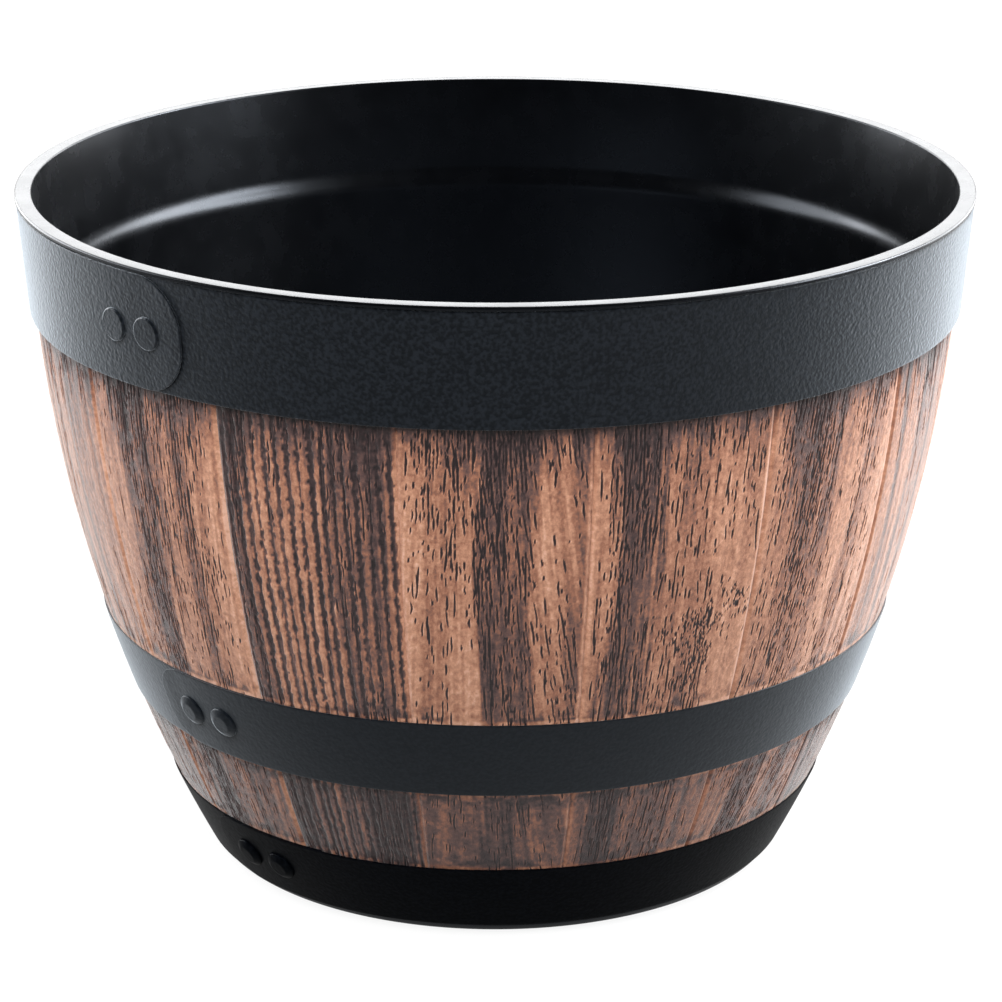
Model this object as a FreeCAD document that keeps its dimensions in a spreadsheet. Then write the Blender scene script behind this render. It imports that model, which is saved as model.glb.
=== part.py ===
"""Barrel-style flower pot: sixteen bent staves and three riveted hoops around an inner pot.

Millimetres, +Z up, origin on the ground at the middle of the foot.
The front of the pot faces -Y.  A radial section is drawn with the radius across and the height up.
"""
import FreeCAD, Part
import math
import os

import Sketcher

# Driving dimensions, in millimetres, degrees and counts
SIZES = {
    # Inner pot
    "rim_radius": 115.0,
    "pot_height": 166.5,
    "lip_width": 4.0,
    "lip_height": 1.0,
    "lip_round": 0.35,
    "inner_wall": 1.9,
    "rim_wall": 4.2,
    "ledge_rise": 2.4,
    "ledge_drop": 2.8,
    "ledge_round": 1.2,
    "floor_thickness": 2.0,
    "floor_corner": 4.0,
    "foot_inset": 4.1,
    "foot_width": 5.5,
    "foot_recess": 4.0,
    "stave_seat": 3.0,
    "drain_radius": 9.0,
    # Staves
    "stave_count": 16,
    "stave_thickness": 2.4,
    "stave_inset": 4.1,
    "stave_taper": 40.0,
    "stave_bend_radius": 363.0,
    "stave_tuck": 1.2,
    "stave_gap": 0.15,
    "stave_bevel": 0.3,
    # Hoops
    "hoop_thickness": 0.4,
    "hoop_gap": 0.1,
    "hoop_setback": 0.3,
    "rim_hoop_width": 27.1,
    "rim_hoop_stand_off": 1.1,
    "mid_hoop_height": 44.1,
    "mid_hoop_width": 19.9,
    "base_hoop_width": 18.1,
    "lap_direction": -45.0,
    "lap_tail": 16.5,
    "lap_step": 6.0,
    "lap_end_gap": 2.0,
    "lap_clearance": 0.1,
    "rim_lap_corner": 12.0,
    "lap_corner": 8.5,
    # Rivets
    "rivet_pitch": 11.0,
    "rivet_inset": 10.5,
    "rivet_head_radius": 3.9,
    "rim_rivet_head_height": 0.6,
    "rivet_head_height": 1.1,
    "rivet_shank_radius": 1.6,
    "rivet_clearance": 0.05,
    # Drain plug
    "plug_flange": 4.0,
    "plug_head_height": 2.5,
    "plug_grip_radius": 4.5,
    "plug_grip_height": 7.0,
    "plug_round": 0.8,
    "plug_tail": 1.0,
    "plug_clearance": 0.1,
    # Gap left between pieces that sit against each other
    "fit_gap": 0.2,
}

# Heights, radii and the bend of the staves, worked out from the driving dimensions
WORKED = {
    "lip_underside": "Sizes.pot_height - Sizes.lip_height",
    "rim_hoop_bottom": "lip_underside - Sizes.rim_hoop_width",
    "rim_hoop_top": "lip_underside - Sizes.fit_gap",
    "mid_hoop_top": "Sizes.mid_hoop_height + Sizes.mid_hoop_width",
    "stave_bottom": "Sizes.stave_seat + Sizes.fit_gap",
    "stave_top": "rim_hoop_bottom + Sizes.stave_tuck",
    "base_hoop_top": "stave_bottom + Sizes.base_hoop_width",
    "floor_top": "Sizes.foot_recess + Sizes.floor_thickness",
    "shelf_height": "stave_top + Sizes.fit_gap",
    "ledge_height": "shelf_height + Sizes.ledge_rise",
    "stave_shoulder_radius": "Sizes.rim_radius - Sizes.stave_inset",
    "stave_foot_radius": "stave_shoulder_radius - Sizes.stave_taper",
    "foot_radius": "stave_foot_radius - Sizes.foot_inset",
    # The staves' outer faces follow one arc, through the ground and the rim hoop's lower edge
    "bend_chord": "sqrt(Sizes.stave_taper ^ 2 + rim_hoop_bottom ^ 2)",
    "bend_reach": "sqrt(Sizes.stave_bend_radius ^ 2 - bend_chord ^ 2 / 4)",
    "bend_radius_at": "(stave_shoulder_radius + stave_foot_radius) / 2"
                      " - rim_hoop_bottom / bend_chord * bend_reach",
    "bend_height_at": "rim_hoop_bottom / 2 + Sizes.stave_taper / bend_chord * bend_reach",
    # Offsets from the staves' outer faces, outwards positive
    "stave_inside": "-Sizes.stave_thickness",
    "wall_outside": "stave_inside - Sizes.fit_gap",
    "wall_inside": "wall_outside - Sizes.inner_wall",
    "hoop_inside": "Sizes.hoop_gap",
    "hoop_outside": "hoop_inside + Sizes.hoop_thickness",
    "lap_inside": "hoop_outside + Sizes.lap_clearance",
    "lap_outside": "lap_inside + Sizes.hoop_thickness",
    # The rim hoop is a cone from the staves' shoulder out to the lip
    "rim_hoop_inside_top": "Sizes.rim_radius - Sizes.hoop_setback - Sizes.hoop_thickness",
    "rim_hoop_inside_bottom": "stave_shoulder_radius + Sizes.rim_hoop_stand_off",
    "rim_hoop_slope": "(rim_hoop_inside_top - rim_hoop_inside_bottom) / (rim_hoop_top - rim_hoop_bottom)",
}

# How near two measures of one edge agree, in millimetres
SAME_PLACE = 1e-4
# Share of a wall that a rounding may take from one side
ROUND_SHARE = 0.45

doc = FreeCAD.newDocument("barrel_flower_pot")


def fill_sheet(name, cells):
    """Make a sheet of named cells, a name in column A and its value in column B."""
    sheet = doc.addObject("Spreadsheet::Sheet", name)
    for row, (alias, value) in enumerate(cells.items(), start=1):
        sheet.set(f"A{row}", alias)
        sheet.setAlias(f"B{row}", alias)
        sheet.set(f"B{row}", value)
    doc.recompute()
    return sheet


fill_sheet("Sizes", {alias: str(value) for alias, value in SIZES.items()})
worked = fill_sheet("Worked", {alias: f"={formula}" for alias, formula in WORKED.items()})


def value_of(expression):
    """Number that an expression of the two sheets' cells gives now."""
    result = worked.evalExpression(expression)
    return getattr(result, "Value", result)


# Expressions for points of a radial section

def bend(offset):
    """Radius of the arc at an offset from the staves' outer faces."""
    return f"(Sizes.stave_bend_radius + {offset})"


def bend_at(offset, height):
    """Distance from the pot's axis of that arc at a height."""
    return (f"(Worked.bend_radius_at + sqrt({bend(offset)} ^ 2"
            f" - ({height} - Worked.bend_height_at) ^ 2))")


def rim_cone_at(offset, height):
    """Distance from the pot's axis of the rim hoop's cone, at an offset from its inside."""
    return (f"(Worked.rim_hoop_inside_bottom + {offset}"
            f" + ({height} - Worked.rim_hoop_bottom) * Worked.rim_hoop_slope)")


# Sketches and features

def new_body(label, turn="0"):
    """Body of one sub-part, its radial section turned about the pot's axis from the front."""
    body = doc.addObject("PartDesign::Body", label)
    body.Label = label
    body.Placement = FreeCAD.Placement(
        FreeCAD.Vector(), FreeCAD.Rotation(FreeCAD.Vector(0, 0, 1), -90.0))
    body.setExpression("Placement.Rotation.Angle", f"{turn} - 90")
    return body


def origin_part(body, role):
    return next(item for item in body.Origin.OriginFeatures if item.Role == role)


def pin_point(sketch, edge, end, across, up):
    """Bind one end of an edge to its place, on the axes where a coordinate is 0."""
    if across == "0":
        sketch.addConstraint(Sketcher.Constraint("PointOnObject", edge, end, -2))
    else:
        index = sketch.addConstraint(
            Sketcher.Constraint("DistanceX", -1, 1, edge, end, value_of(across)))
        sketch.setExpression(f"Constraints[{index}]", across)
    if up == "0":
        sketch.addConstraint(Sketcher.Constraint("PointOnObject", edge, end, -1))
    else:
        index = sketch.addConstraint(
            Sketcher.Constraint("DistanceY", -1, 1, edge, end, value_of(up)))
        sketch.setExpression(f"Constraints[{index}]", up)


def arc_between(start, end, radius):
    """Arc shorter than a half circle; a positive radius bulges to the right of start to end."""
    along = end.sub(start)
    half = along.Length / 2
    right = FreeCAD.Vector(along.y, -along.x, 0).normalize()
    reach = math.sqrt(max(radius ** 2 - half ** 2, 0.0))
    side = 1 if radius > 0 else -1
    centre = (start + end) * 0.5 - right * (reach * side)
    circle = Part.Circle(centre, FreeCAD.Vector(0, 0, 1), abs(radius))
    first, last = (start, end) if side > 0 else (end, start)
    return Part.ArcOfCircle(circle, circle.parameter(first), circle.parameter(last))


def draw(body, name, corners, plane="XZ_Plane", turn=None, shift=None):
    """Closed outline: corners are (across, up) expressions, or (across, up, radius, side) where
    an arc leads on to the next corner; side is 1 to bulge to the right of the way round, or -1."""
    sketch = body.newObject("Sketcher::SketchObject", name)
    sketch.AttachmentSupport = (origin_part(body, plane), [""])
    sketch.MapMode = "FlatFace"
    if turn is not None:
        sketch.AttachmentOffset = FreeCAD.Placement(
            FreeCAD.Vector(), FreeCAD.Rotation(FreeCAD.Vector(0, 1, 0), 1.0))
        sketch.setExpression("AttachmentOffset.Rotation.Angle", turn)
    if shift is not None:
        across, up, tilt = shift
        sketch.AttachmentOffset = FreeCAD.Placement(
            FreeCAD.Vector(), FreeCAD.Rotation(FreeCAD.Vector(0, 0, 1), -1.0))
        sketch.setExpression("AttachmentOffset.Base.x", across)
        sketch.setExpression("AttachmentOffset.Base.y", up)
        sketch.setExpression("AttachmentOffset.Rotation.Angle", tilt)
    points = [FreeCAD.Vector(value_of(corner[0]), value_of(corner[1]), 0) for corner in corners]
    starts, ends = [], []
    for index, corner in enumerate(corners):
        here, there = points[index], points[(index + 1) % len(points)]
        if len(corner) == 2:
            sketch.addGeometry(Part.LineSegment(here, there))
            starts.append(1)
            ends.append(2)
        else:
            radius, side = corner[2:]
            sketch.addGeometry(arc_between(here, there, value_of(radius) * side))
            starts.append(1 if side > 0 else 2)
            ends.append(2 if side > 0 else 1)
    for index, corner in enumerate(corners):
        before = (index - 1) % len(corners)
        sketch.addConstraint(
            Sketcher.Constraint("Coincident", before, ends[before], index, starts[index]))
        pin_point(sketch, index, starts[index], corner[0], corner[1])
        if len(corner) == 4:
            radius_index = sketch.addConstraint(
                Sketcher.Constraint("Radius", index, value_of(corner[2])))
            sketch.setExpression(f"Constraints[{radius_index}]", corner[2])
    sketch.recompute()
    return sketch


def revolve(body, name, sketch, ahead="360", behind=None, axis="V_Axis", kind="Revolution",
            both_ways=False):
    """Turn a section about an axis: ahead degrees counterclockwise and behind degrees the other way."""
    feature = body.newObject(f"PartDesign::{kind}", name)
    feature.Profile = sketch
    feature.ReferenceAxis = (sketch, [axis])
    feature.Midplane = both_ways
    feature.setExpression("Angle", ahead)
    if behind is not None:
        feature.Type = "TwoAngles"
        feature.setExpression("Angle2", behind)
    feature.recompute()
    return feature


def round_edges(body, name, base, edges, radius, kind="Fillet", size="Radius"):
    """Fillet or chamfer the edges of a feature that a test picks out."""
    picked = [f"Edge{number}" for number, edge in enumerate(base.Shape.Edges, start=1) if edges(edge)]
    feature = body.newObject(f"PartDesign::{kind}", name)
    feature.Base = (base, picked)
    feature.setExpression(size, radius)
    feature.recompute()
    return feature


def ring_edge(across, up):
    """Test for a full circle about the axis at a radius and height."""
    radius, height = value_of(across), value_of(up)

    def test(edge):
        curve = edge.Curve
        if not isinstance(curve, Part.Circle):
            return False
        same_radius = abs(curve.Radius - radius) < SAME_PLACE
        return same_radius and abs(curve.Center.z - height) < SAME_PLACE
    return test


def any_edge(*tests):
    return lambda edge: any(test(edge) for test in tests)


# Inner pot

def build_inner_pot():
    body = new_body("inner_pot")
    wall_in = "Worked.wall_inside"
    wall_out = "Worked.wall_outside"
    ledge_foot = "(Worked.ledge_height - Sizes.ledge_drop)"
    shelf = "Worked.shelf_height"
    mouth = "(Sizes.rim_radius - Sizes.lip_width)"
    cone_gap = "(-Sizes.fit_gap)"
    ledge_edge = rim_cone_at("(-Sizes.fit_gap - Sizes.rim_wall)", "Worked.ledge_height")
    foot_edge = bend_at("Worked.hoop_outside", "Sizes.stave_seat")
    foot_round = (f"((({foot_edge} - Worked.foot_radius) ^ 2 + Sizes.stave_seat ^ 2)"
                  " / (2 * Sizes.stave_seat))")
    foot_inner = "(Worked.foot_radius - Sizes.foot_width)"
    corners = [
        ("Sizes.drain_radius", "Sizes.foot_recess"),
        (foot_inner, "Sizes.foot_recess"),
        (foot_inner, "0"),
        ("Worked.foot_radius", "0", foot_round, 1),
        (foot_edge, "Sizes.stave_seat"),
        (bend_at(wall_out, "Sizes.stave_seat"), "Sizes.stave_seat", bend(wall_out), 1),
        (bend_at(wall_out, shelf), shelf),
        (rim_cone_at(cone_gap, shelf), shelf),
        (rim_cone_at(cone_gap, "Worked.lip_underside"), "Worked.lip_underside"),
        ("Sizes.rim_radius", "Worked.lip_underside"),
        ("Sizes.rim_radius", "Sizes.pot_height"),
        (mouth, "Sizes.pot_height"),
        (ledge_edge, "Worked.ledge_height"),
        (bend_at(wall_in, ledge_foot), ledge_foot, bend(wall_in), -1),
        (bend_at(wall_in, "Worked.floor_top"), "Worked.floor_top"),
        ("Sizes.drain_radius", "Worked.floor_top"),
    ]
    section = draw(body, "inner_pot_section", corners)
    shell = revolve(body, "inner_pot_shell", section)
    lip = any_edge(ring_edge("Sizes.rim_radius", "Sizes.pot_height"),
                   ring_edge("Sizes.rim_radius", "Worked.lip_underside"),
                   ring_edge(mouth, "Sizes.pot_height"))
    lip_round = f"min(Sizes.lip_round; Sizes.lip_height * {ROUND_SHARE}; Sizes.lip_width * {ROUND_SHARE})"
    rounded_lip = round_edges(body, "inner_pot_lip", shell, lip, lip_round)
    ledge = any_edge(ring_edge(ledge_edge, "Worked.ledge_height"),
                     ring_edge(bend_at(wall_in, ledge_foot), ledge_foot))
    rounded_ledge = round_edges(body, "inner_pot_ledge", rounded_lip, ledge, "Sizes.ledge_round")
    corner = ring_edge(bend_at(wall_in, "Worked.floor_top"), "Worked.floor_top")
    round_edges(body, "inner_pot_corner", rounded_ledge, corner, "Sizes.floor_corner")
    return body


# Staves

def build_stave(number):
    body = new_body(f"stave_{number:02d}", f"{number - 1} * 360 / Sizes.stave_count")
    inside = "Worked.stave_inside"
    corners = [
        (bend_at("0", "Worked.stave_bottom"), "Worked.stave_bottom", bend("0"), 1),
        (bend_at("0", "Worked.stave_top"), "Worked.stave_top"),
        (bend_at(inside, "Worked.stave_top"), "Worked.stave_top", bend(inside), -1),
        (bend_at(inside, "Worked.stave_bottom"), "Worked.stave_bottom"),
    ]
    section = draw(body, f"{body.Label}_section", corners)
    width = "360 / Sizes.stave_count - Sizes.stave_gap / Worked.stave_shoulder_radius * 180 / pi"
    plank = revolve(body, f"{body.Label}_plank", section, ahead=width, both_ways=True)
    outer = value_of(bend("0"))

    def long_outer_edge(edge):
        curve = edge.Curve
        return isinstance(curve, Part.Circle) and abs(curve.Radius - outer) < SAME_PLACE

    round_edges(body, f"{body.Label}_bevel", plank, long_outer_edge, "Sizes.stave_bevel",
                kind="Chamfer", size="Size")
    return body


# Hoops: a strip bent once round, its outer end stepped out and lapped over its inner end

class HoopPlan:
    """Where one hoop's strip lies.  side is 1 where the free end of the lap points to the right."""

    def __init__(self, name, bottom, top, side, corner, head_height, conical=False):
        self.name = name
        self.bottom = bottom
        self.top = top
        self.side = side
        self.corner = corner
        self.head_height = head_height
        self.conical = conical
        self.middle = f"(({bottom} + {top}) / 2)"

    def at(self, offset, height):
        """Distance from the axis at an offset from the staves' outer faces."""
        if self.conical:
            return rim_cone_at(f"({offset} - Worked.hoop_inside)", height)
        return bend_at(offset, height)

    def degrees(self, length):
        """Angle about the axis of a length along the strip."""
        return f"({length} / {self.at('Worked.hoop_outside', self.middle)} * 180 / pi)"

    def strip(self, inside, outside):
        """Corners of the strip's section between two offsets."""
        low_in = (self.at(inside, self.bottom), self.bottom)
        low_out = (self.at(outside, self.bottom), self.bottom)
        high_out = (self.at(outside, self.top), self.top)
        high_in = (self.at(inside, self.top), self.top)
        if self.conical:
            return [low_in, low_out, high_out, high_in]
        return [low_in, low_out + (bend(outside), 1), high_out, high_in + (bend(inside), -1)]

    def rivet_place(self):
        """Shift to the lap's outer face at mid height, the sketch's X axis square to the face."""
        across = self.at("Worked.lap_outside", self.middle)
        if self.conical:
            return across, self.middle, "-atan(Worked.rim_hoop_slope)"
        tilt = f"-asin((Worked.bend_height_at - {self.middle}) / {bend('Worked.lap_outside')})"
        return across, self.middle, tilt


HOOPS = [
    HoopPlan("rim_hoop", "Worked.rim_hoop_bottom", "Worked.rim_hoop_top", 1,
             "Sizes.rim_lap_corner", "Sizes.rim_rivet_head_height", conical=True),
    HoopPlan("mid_hoop", "Sizes.mid_hoop_height", "Worked.mid_hoop_top", -1,
             "Sizes.lap_corner", "Sizes.rivet_head_height"),
    HoopPlan("base_hoop", "Worked.stave_bottom", "Worked.base_hoop_top", -1,
             "Sizes.lap_corner", "Sizes.rivet_head_height"),
]


def first_rivet_turn(plan):
    """Angle from the front to the rivet further from the free end, where the hoop's section lies."""
    return f"Sizes.lap_direction - {plan.side} * {plan.degrees('Sizes.rivet_pitch')} / 2"


def build_hoop(plan):
    body = new_body(plan.name, first_rivet_turn(plan))
    free_end = plan.degrees("(Sizes.rivet_pitch + Sizes.rivet_inset)")
    lap_start = plan.degrees("Sizes.lap_tail")
    step = plan.degrees("Sizes.lap_step")
    inner_end = plan.degrees("(Sizes.lap_tail - Sizes.lap_end_gap)")
    ring_sweep = f"(360 - {lap_start} - {step})"
    lap_ways = (free_end, lap_start)[::plan.side]
    ring_ways = (ring_sweep, inner_end)[::plan.side]

    lap_strip = plan.strip("Worked.lap_inside", "Worked.lap_outside")
    ring_strip = plan.strip("Worked.hoop_inside", "Worked.hoop_outside")
    revolve(body, f"{plan.name}_lap", draw(body, f"{plan.name}_lap_section", lap_strip), *lap_ways)
    round_free_end(body, plan, free_end)

    step_high = draw(body, f"{plan.name}_step_high", lap_strip, turn=f"{-plan.side} * {lap_start}")
    step_low = draw(body, f"{plan.name}_step_low", ring_strip,
                    turn=f"{-plan.side} * ({lap_start} + {step})")
    joggle = body.newObject("PartDesign::AdditiveLoft", f"{plan.name}_step")
    joggle.Profile = step_high
    joggle.Sections = [step_low]
    joggle.Ruled = True
    joggle.recompute()
    revolve(body, f"{plan.name}_ring", draw(body, f"{plan.name}_ring_section", ring_strip), *ring_ways)

    bore = "(Sizes.rivet_shank_radius + Sizes.rivet_clearance)"
    depth = "(Worked.lap_outside - Worked.hoop_inside + Sizes.hoop_thickness)"
    hole_section = draw(body, f"{plan.name}_hole_section",
                        [(f"-{depth}", "0"), ("Sizes.hoop_thickness", "0"),
                         ("Sizes.hoop_thickness", bore), (f"-{depth}", bore)], shift=plan.rivet_place())
    hole = revolve(body, f"{plan.name}_hole", hole_section, axis="H_Axis", kind="Groove")
    pattern_pair(body, f"{plan.name}_holes", hole, plan)
    return body


def round_free_end(body, plan, free_end):
    """Cut the two corners of the lap's free end to a radius, seen square to the strip."""
    radius = f"min({plan.corner}; ({plan.top} - {plan.bottom}) * {ROUND_SHARE})"
    back = f"({-plan.side} * {radius})"
    past = f"({plan.side} * Sizes.hoop_thickness)"
    for place, edge, up in (("upper", plan.top, 1), ("lower", plan.bottom, -1)):
        start = f"({edge} - {up} * {radius})"
        beyond = f"({edge} + {up} * Sizes.hoop_thickness)"
        corners = [("0", start, radius, plan.side * up), (back, edge), (back, beyond),
                   (past, beyond), (past, start)]
        outline = draw(body, f"{plan.name}_{place}_corner_outline", corners, plane="YZ_Plane",
                       turn=f"{plan.side} * {free_end}")
        pocket = body.newObject("PartDesign::Pocket", f"{plan.name}_{place}_corner")
        pocket.Profile = outline
        pocket.Type = "ThroughAll"
        pocket.Midplane = True
        pocket.recompute()


def pattern_pair(body, name, feature, plan):
    """Repeat a rivet or its hole once, a pitch further towards the free end."""
    pair = body.newObject("PartDesign::PolarPattern", name)
    pair.Originals = [feature]
    pair.Axis = (origin_part(body, "Z_Axis"), [""])
    pair.Reversed = plan.side < 0
    pair.Occurrences = 2
    pair.setExpression("Angle", plan.degrees("Sizes.rivet_pitch"))
    body.Tip = pair
    pair.recompute()
    return pair


# Rivets: low domed heads on the lap, shanks through both layers of the strip

def build_rivets(plan):
    body = new_body(f"{plan.name}_rivets", first_rivet_turn(plan))
    body.AllowCompound = True
    tail = "(Worked.lap_outside - Worked.hoop_inside)"
    dome = f"((Sizes.rivet_head_radius ^ 2 + {plan.head_height} ^ 2) / (2 * {plan.head_height}))"
    corners = [
        (f"-{tail}", "0"),
        (plan.head_height, "0", dome, 1),
        ("0", "Sizes.rivet_head_radius"),
        ("0", "Sizes.rivet_shank_radius"),
        (f"-{tail}", "Sizes.rivet_shank_radius"),
    ]
    section = draw(body, f"{plan.name}_rivet_section", corners, shift=plan.rivet_place())
    rivet = revolve(body, f"{plan.name}_rivet", section, axis="H_Axis")
    pattern_pair(body, f"{plan.name}_rivet_pair", rivet, plan)
    return body


# Drain plug

def build_drain_plug():
    body = new_body("drain_plug")
    shank = "(Sizes.drain_radius - Sizes.plug_clearance)"
    head = "(Sizes.drain_radius + Sizes.plug_flange)"
    tail = "(Sizes.foot_recess - Sizes.plug_tail)"
    head_top = "(Worked.floor_top + Sizes.plug_head_height)"
    grip_top = f"({head_top} + Sizes.plug_grip_height)"
    corners = [
        ("0", tail),
        (shank, tail),
        (shank, "Worked.floor_top"),
        (head, "Worked.floor_top"),
        (head, head_top),
        ("Sizes.plug_grip_radius", head_top),
        ("Sizes.plug_grip_radius", grip_top),
        ("0", grip_top),
    ]
    section = draw(body, "drain_plug_section", corners)
    blank = revolve(body, "drain_plug_blank", section)
    rims = any_edge(ring_edge(shank, tail),
                    ring_edge(head, head_top),
                    ring_edge("Sizes.plug_grip_radius", head_top),
                    ring_edge("Sizes.plug_grip_radius", grip_top))
    round_edges(body, "drain_plug_rims", blank, rims, "Sizes.plug_round")
    return body


# Build, check and write every sub-part

sub_parts = [build_inner_pot()]
sub_parts += [build_stave(number + 1) for number in range(round(value_of("Sizes.stave_count")))]
sub_parts += [build_hoop(plan) for plan in HOOPS]
sub_parts += [build_rivets(plan) for plan in HOOPS]
sub_parts.append(build_drain_plug())
doc.recompute()

for item in doc.Objects:
    if "Invalid" in item.State or "Error" in item.State:
        raise RuntimeError(f"{item.Label} failed: {item.State}")
for part in sub_parts:
    if part.Shape.isNull() or not part.Shape.isValid():
        raise RuntimeError(f"{part.Label} has no valid shape")

os.makedirs("parts", exist_ok=True)
for part in sub_parts:
    part.Shape.exportStep(f"parts/{part.Label}.step")
    print(f"{part.Label}: {len(part.Shape.Solids)} solid(s), {part.Shape.Volume:.1f} cubic mm")
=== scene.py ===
"""Looks of the barrel-style flower pot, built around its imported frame.

The frame is in metres, +Z up, with the front of the pot towards -Y.  Shapes here are worked out in
millimetres.  An angle round the pot starts at the front and grows towards +X.
"""
import math
from dataclasses import dataclass

import bpy
import numpy as np
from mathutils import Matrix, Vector


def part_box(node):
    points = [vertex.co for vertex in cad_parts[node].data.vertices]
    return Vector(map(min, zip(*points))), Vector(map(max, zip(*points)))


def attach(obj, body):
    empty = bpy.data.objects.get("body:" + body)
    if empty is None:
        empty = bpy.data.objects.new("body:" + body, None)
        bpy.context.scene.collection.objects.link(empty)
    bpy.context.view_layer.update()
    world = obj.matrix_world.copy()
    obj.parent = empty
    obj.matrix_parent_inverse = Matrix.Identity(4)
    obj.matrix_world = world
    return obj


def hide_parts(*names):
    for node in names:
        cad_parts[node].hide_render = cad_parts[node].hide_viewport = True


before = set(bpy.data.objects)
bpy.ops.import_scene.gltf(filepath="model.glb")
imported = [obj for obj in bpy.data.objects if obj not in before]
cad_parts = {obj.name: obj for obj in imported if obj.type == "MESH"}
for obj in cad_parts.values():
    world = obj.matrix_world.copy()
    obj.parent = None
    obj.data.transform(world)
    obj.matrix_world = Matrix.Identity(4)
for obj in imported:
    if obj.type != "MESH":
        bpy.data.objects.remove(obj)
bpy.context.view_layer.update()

# Units
MM = 0.001

# Staves
STAVE_COUNT = 16
STAVE_ANGLE = 2 * math.pi / STAVE_COUNT
STAVE_THICKNESS = 2.4
STAVE_BEND = 363.0
JOINT_SLIT = 0.01
JOINT_BEVEL = 0.90
JOINT_DEPTH = 0.58
JOINT_MARGIN = 1.6
# Radius at which distances across a stave are measured
FLAT_RADIUS = 100.0
COLUMN_STEP = 0.16
ROW_STEP = 0.5
INNER_COLUMNS = 8
# Where the outer face, the inner face and the last joint lie across the texture
OUTER_SHARES = (0.02, 0.86)
INNER_SHARES = (0.88, 0.97)
LAST_SHARE = 0.99

# Relief of the moulded grain
PORE_DEPTH = 0.32
COLLAR_HEIGHT = 0.10
COLLAR_WIDTH = 0.26
LINE_DEPTH = 0.32
GRIT_HEIGHT = 0.05
STRAND_HEIGHT = 0.06

# Spacing of the moulded grain
FIBRE_STEP = 0.95
FIBRE_JITTER = 0.16
# Leaning fibres start from a strip this many times as wide as the stave
FIBRE_REACH = 1.4
SWIRL_DENSITY = 2.2
STREAK_SWAY = 1.8
STREAK_EDGE = 1.8
LINE_PITCH = 2.45
# Share of the pitch that a line takes up, and of its soft edge
LINE_SHARE = 0.36
LINE_EDGE = 0.15
# Height about which the grain leans
LEAN_HEIGHT = 95.0
# Widths of the pores, and widths and lengths of the short ones in a swirl
PORE_WIDTHS = (0.22, 0.36)
SWIRL_WIDTHS = (0.22, 0.30)
SWIRL_LENGTHS = (0.9, 1.8)
# How the chance of a pore changes in patches, with the shade and under the rim hoop
PORE_PATCHES = 0.30
PORES_IN_SHADE = 1.2
PORES_UNDER_RIM = 0.35
# Distances below the rim hoop at which those extra pores start and are at their most
PORE_RIM_DEPTHS = (16, 2)
# Distance between the staves' places in the stipple
STIPPLE_STEP = 50.0

# Tone of the grain, from 0, near black, to 1, pale copper
COPPER_TONE = 0.70
DARKEST_TONE = 0.12
LINE_TONE = 0.54
GRIT_TONE = 0.15
# Pale tone on the raised collars round the pores: partly copper rubbed onto them, partly painted highlight
COLLAR_RUB_AND_HIGHLIGHT = 0.24
PORE_TONE = 0.03
BACK_TONE = 0.15
# Darkening under the rim hoop: its strands are partly stain and partly painted shade, the haze below them
# is painted shade
RIM_STRAND_STAIN_AND_SHADE = 0.30
RIM_PAINTED_SHADE = 0.10
HOOP_RUB = 0.30
HOOP_SMUDGE = 0.30
# Painted shade on the lower staves
LOW_PAINTED_SHADE = 0.25
# Heights between which painted shade darkens the staves towards the foot, where they face down
LOW_PAINTED_SHADE_HEIGHTS = (62, 40)
# Length of the dark strands under the rim hoop, and depths between which the painted shade below them
# gathers
RIM_STRAND_LENGTH = 10
RIM_PAINTED_SHADE_DEPTHS = (28, 4)
# Painted highlight on the bevels at the two joints of a stave, stronger at the right joint, whose bevel
# faces the brighter lamps
LEFT_JOINT_HIGHLIGHT = 0.06
RIGHT_JOINT_HIGHLIGHT = 0.26
# Distances from a joint at which its painted highlight starts and is full
JOINT_HIGHLIGHT_START = 1.6 * JOINT_BEVEL
JOINT_HIGHLIGHT_FULL = 0.6 * JOINT_BEVEL

# Hoops
HOOP_THICKNESS = 0.4
HOOP_GAP = 0.1
HOOP_SETBACK = 0.3
RIM_STAND_OFF = 1.1
HOOP_EDGE_ROUND = 0.16
HOOP_BACK_ROUND = 0.1
HOOP_ROUND_STEPS = 3
HOOP_STEP = 0.5
# Least length of the last whole step before a hoop's free end
HOOP_END_ROOM = 0.1
PEBBLE_SIZE = 1.2
FINE_PEBBLE_SIZE = 0.7
PEBBLE_SEED = 501
FINE_PEBBLE_SEED = 502
# Depths below a hoop's face between which its mould grain fades in
FACE_DEPTHS = (0.05, 0.01)
LAP_CLEARANCE = 0.1
LAP_DIRECTION = math.radians(-45.0)
LAP_TAIL = 16.5
LAP_STEP = 45.0
LAP_END_GAP = 2.0

# Rivets
RIVET_PITCH = 11.0
RIVET_INSET = 10.5
RIVET_RADIUS = 3.9
RIVET_SHANK_INSET = 0.9
RIVET_SIDES = 48
# Depth below the lap's face at which the side of a head starts
RIVET_SEAT = 0.1
# Distance from its axis at which a rivet's outline starts
RIVET_AXIS = 0.01

# Inner pot
FIT_GAP = 0.2
INNER_WALL = 1.9
RIM_WALL = 4.2
LIP_WIDTH = 4.0
LIP_HEIGHT = 1.0
LIP_ROUND = 0.4
LEDGE_RISE = 2.4
LEDGE_DROP = 3.0
LEDGE_ROUND = 9.0
STAVE_SEAT = 3.0
SEAT_ROUND = 0.2
FOOT_RECESS = 4.0
FOOT_INSET = 4.1
FOOT_WIDTH = 5.5
FOOT_ROUND = 0.4
# The curve from the foot out to the seat of the staves
FLARE_INSET = 1.2
FLARE_DROP = 1.9
FLARE_ROUND = 2.5
FLOOR_TOP = 6.0
FLOOR_CORNER = 4.0
DRAIN_RADIUS = 9.0
DRAIN_ROUND = 0.3
WALL_ROWS = 24
# Room that the inside wall leaves for the roundings above and below it
WALL_TOP_ROOM = 4.0
WALL_FOOT_ROOM = 5.0
POT_SIDES = 360
POT_ROUND_STEPS = 8

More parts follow.
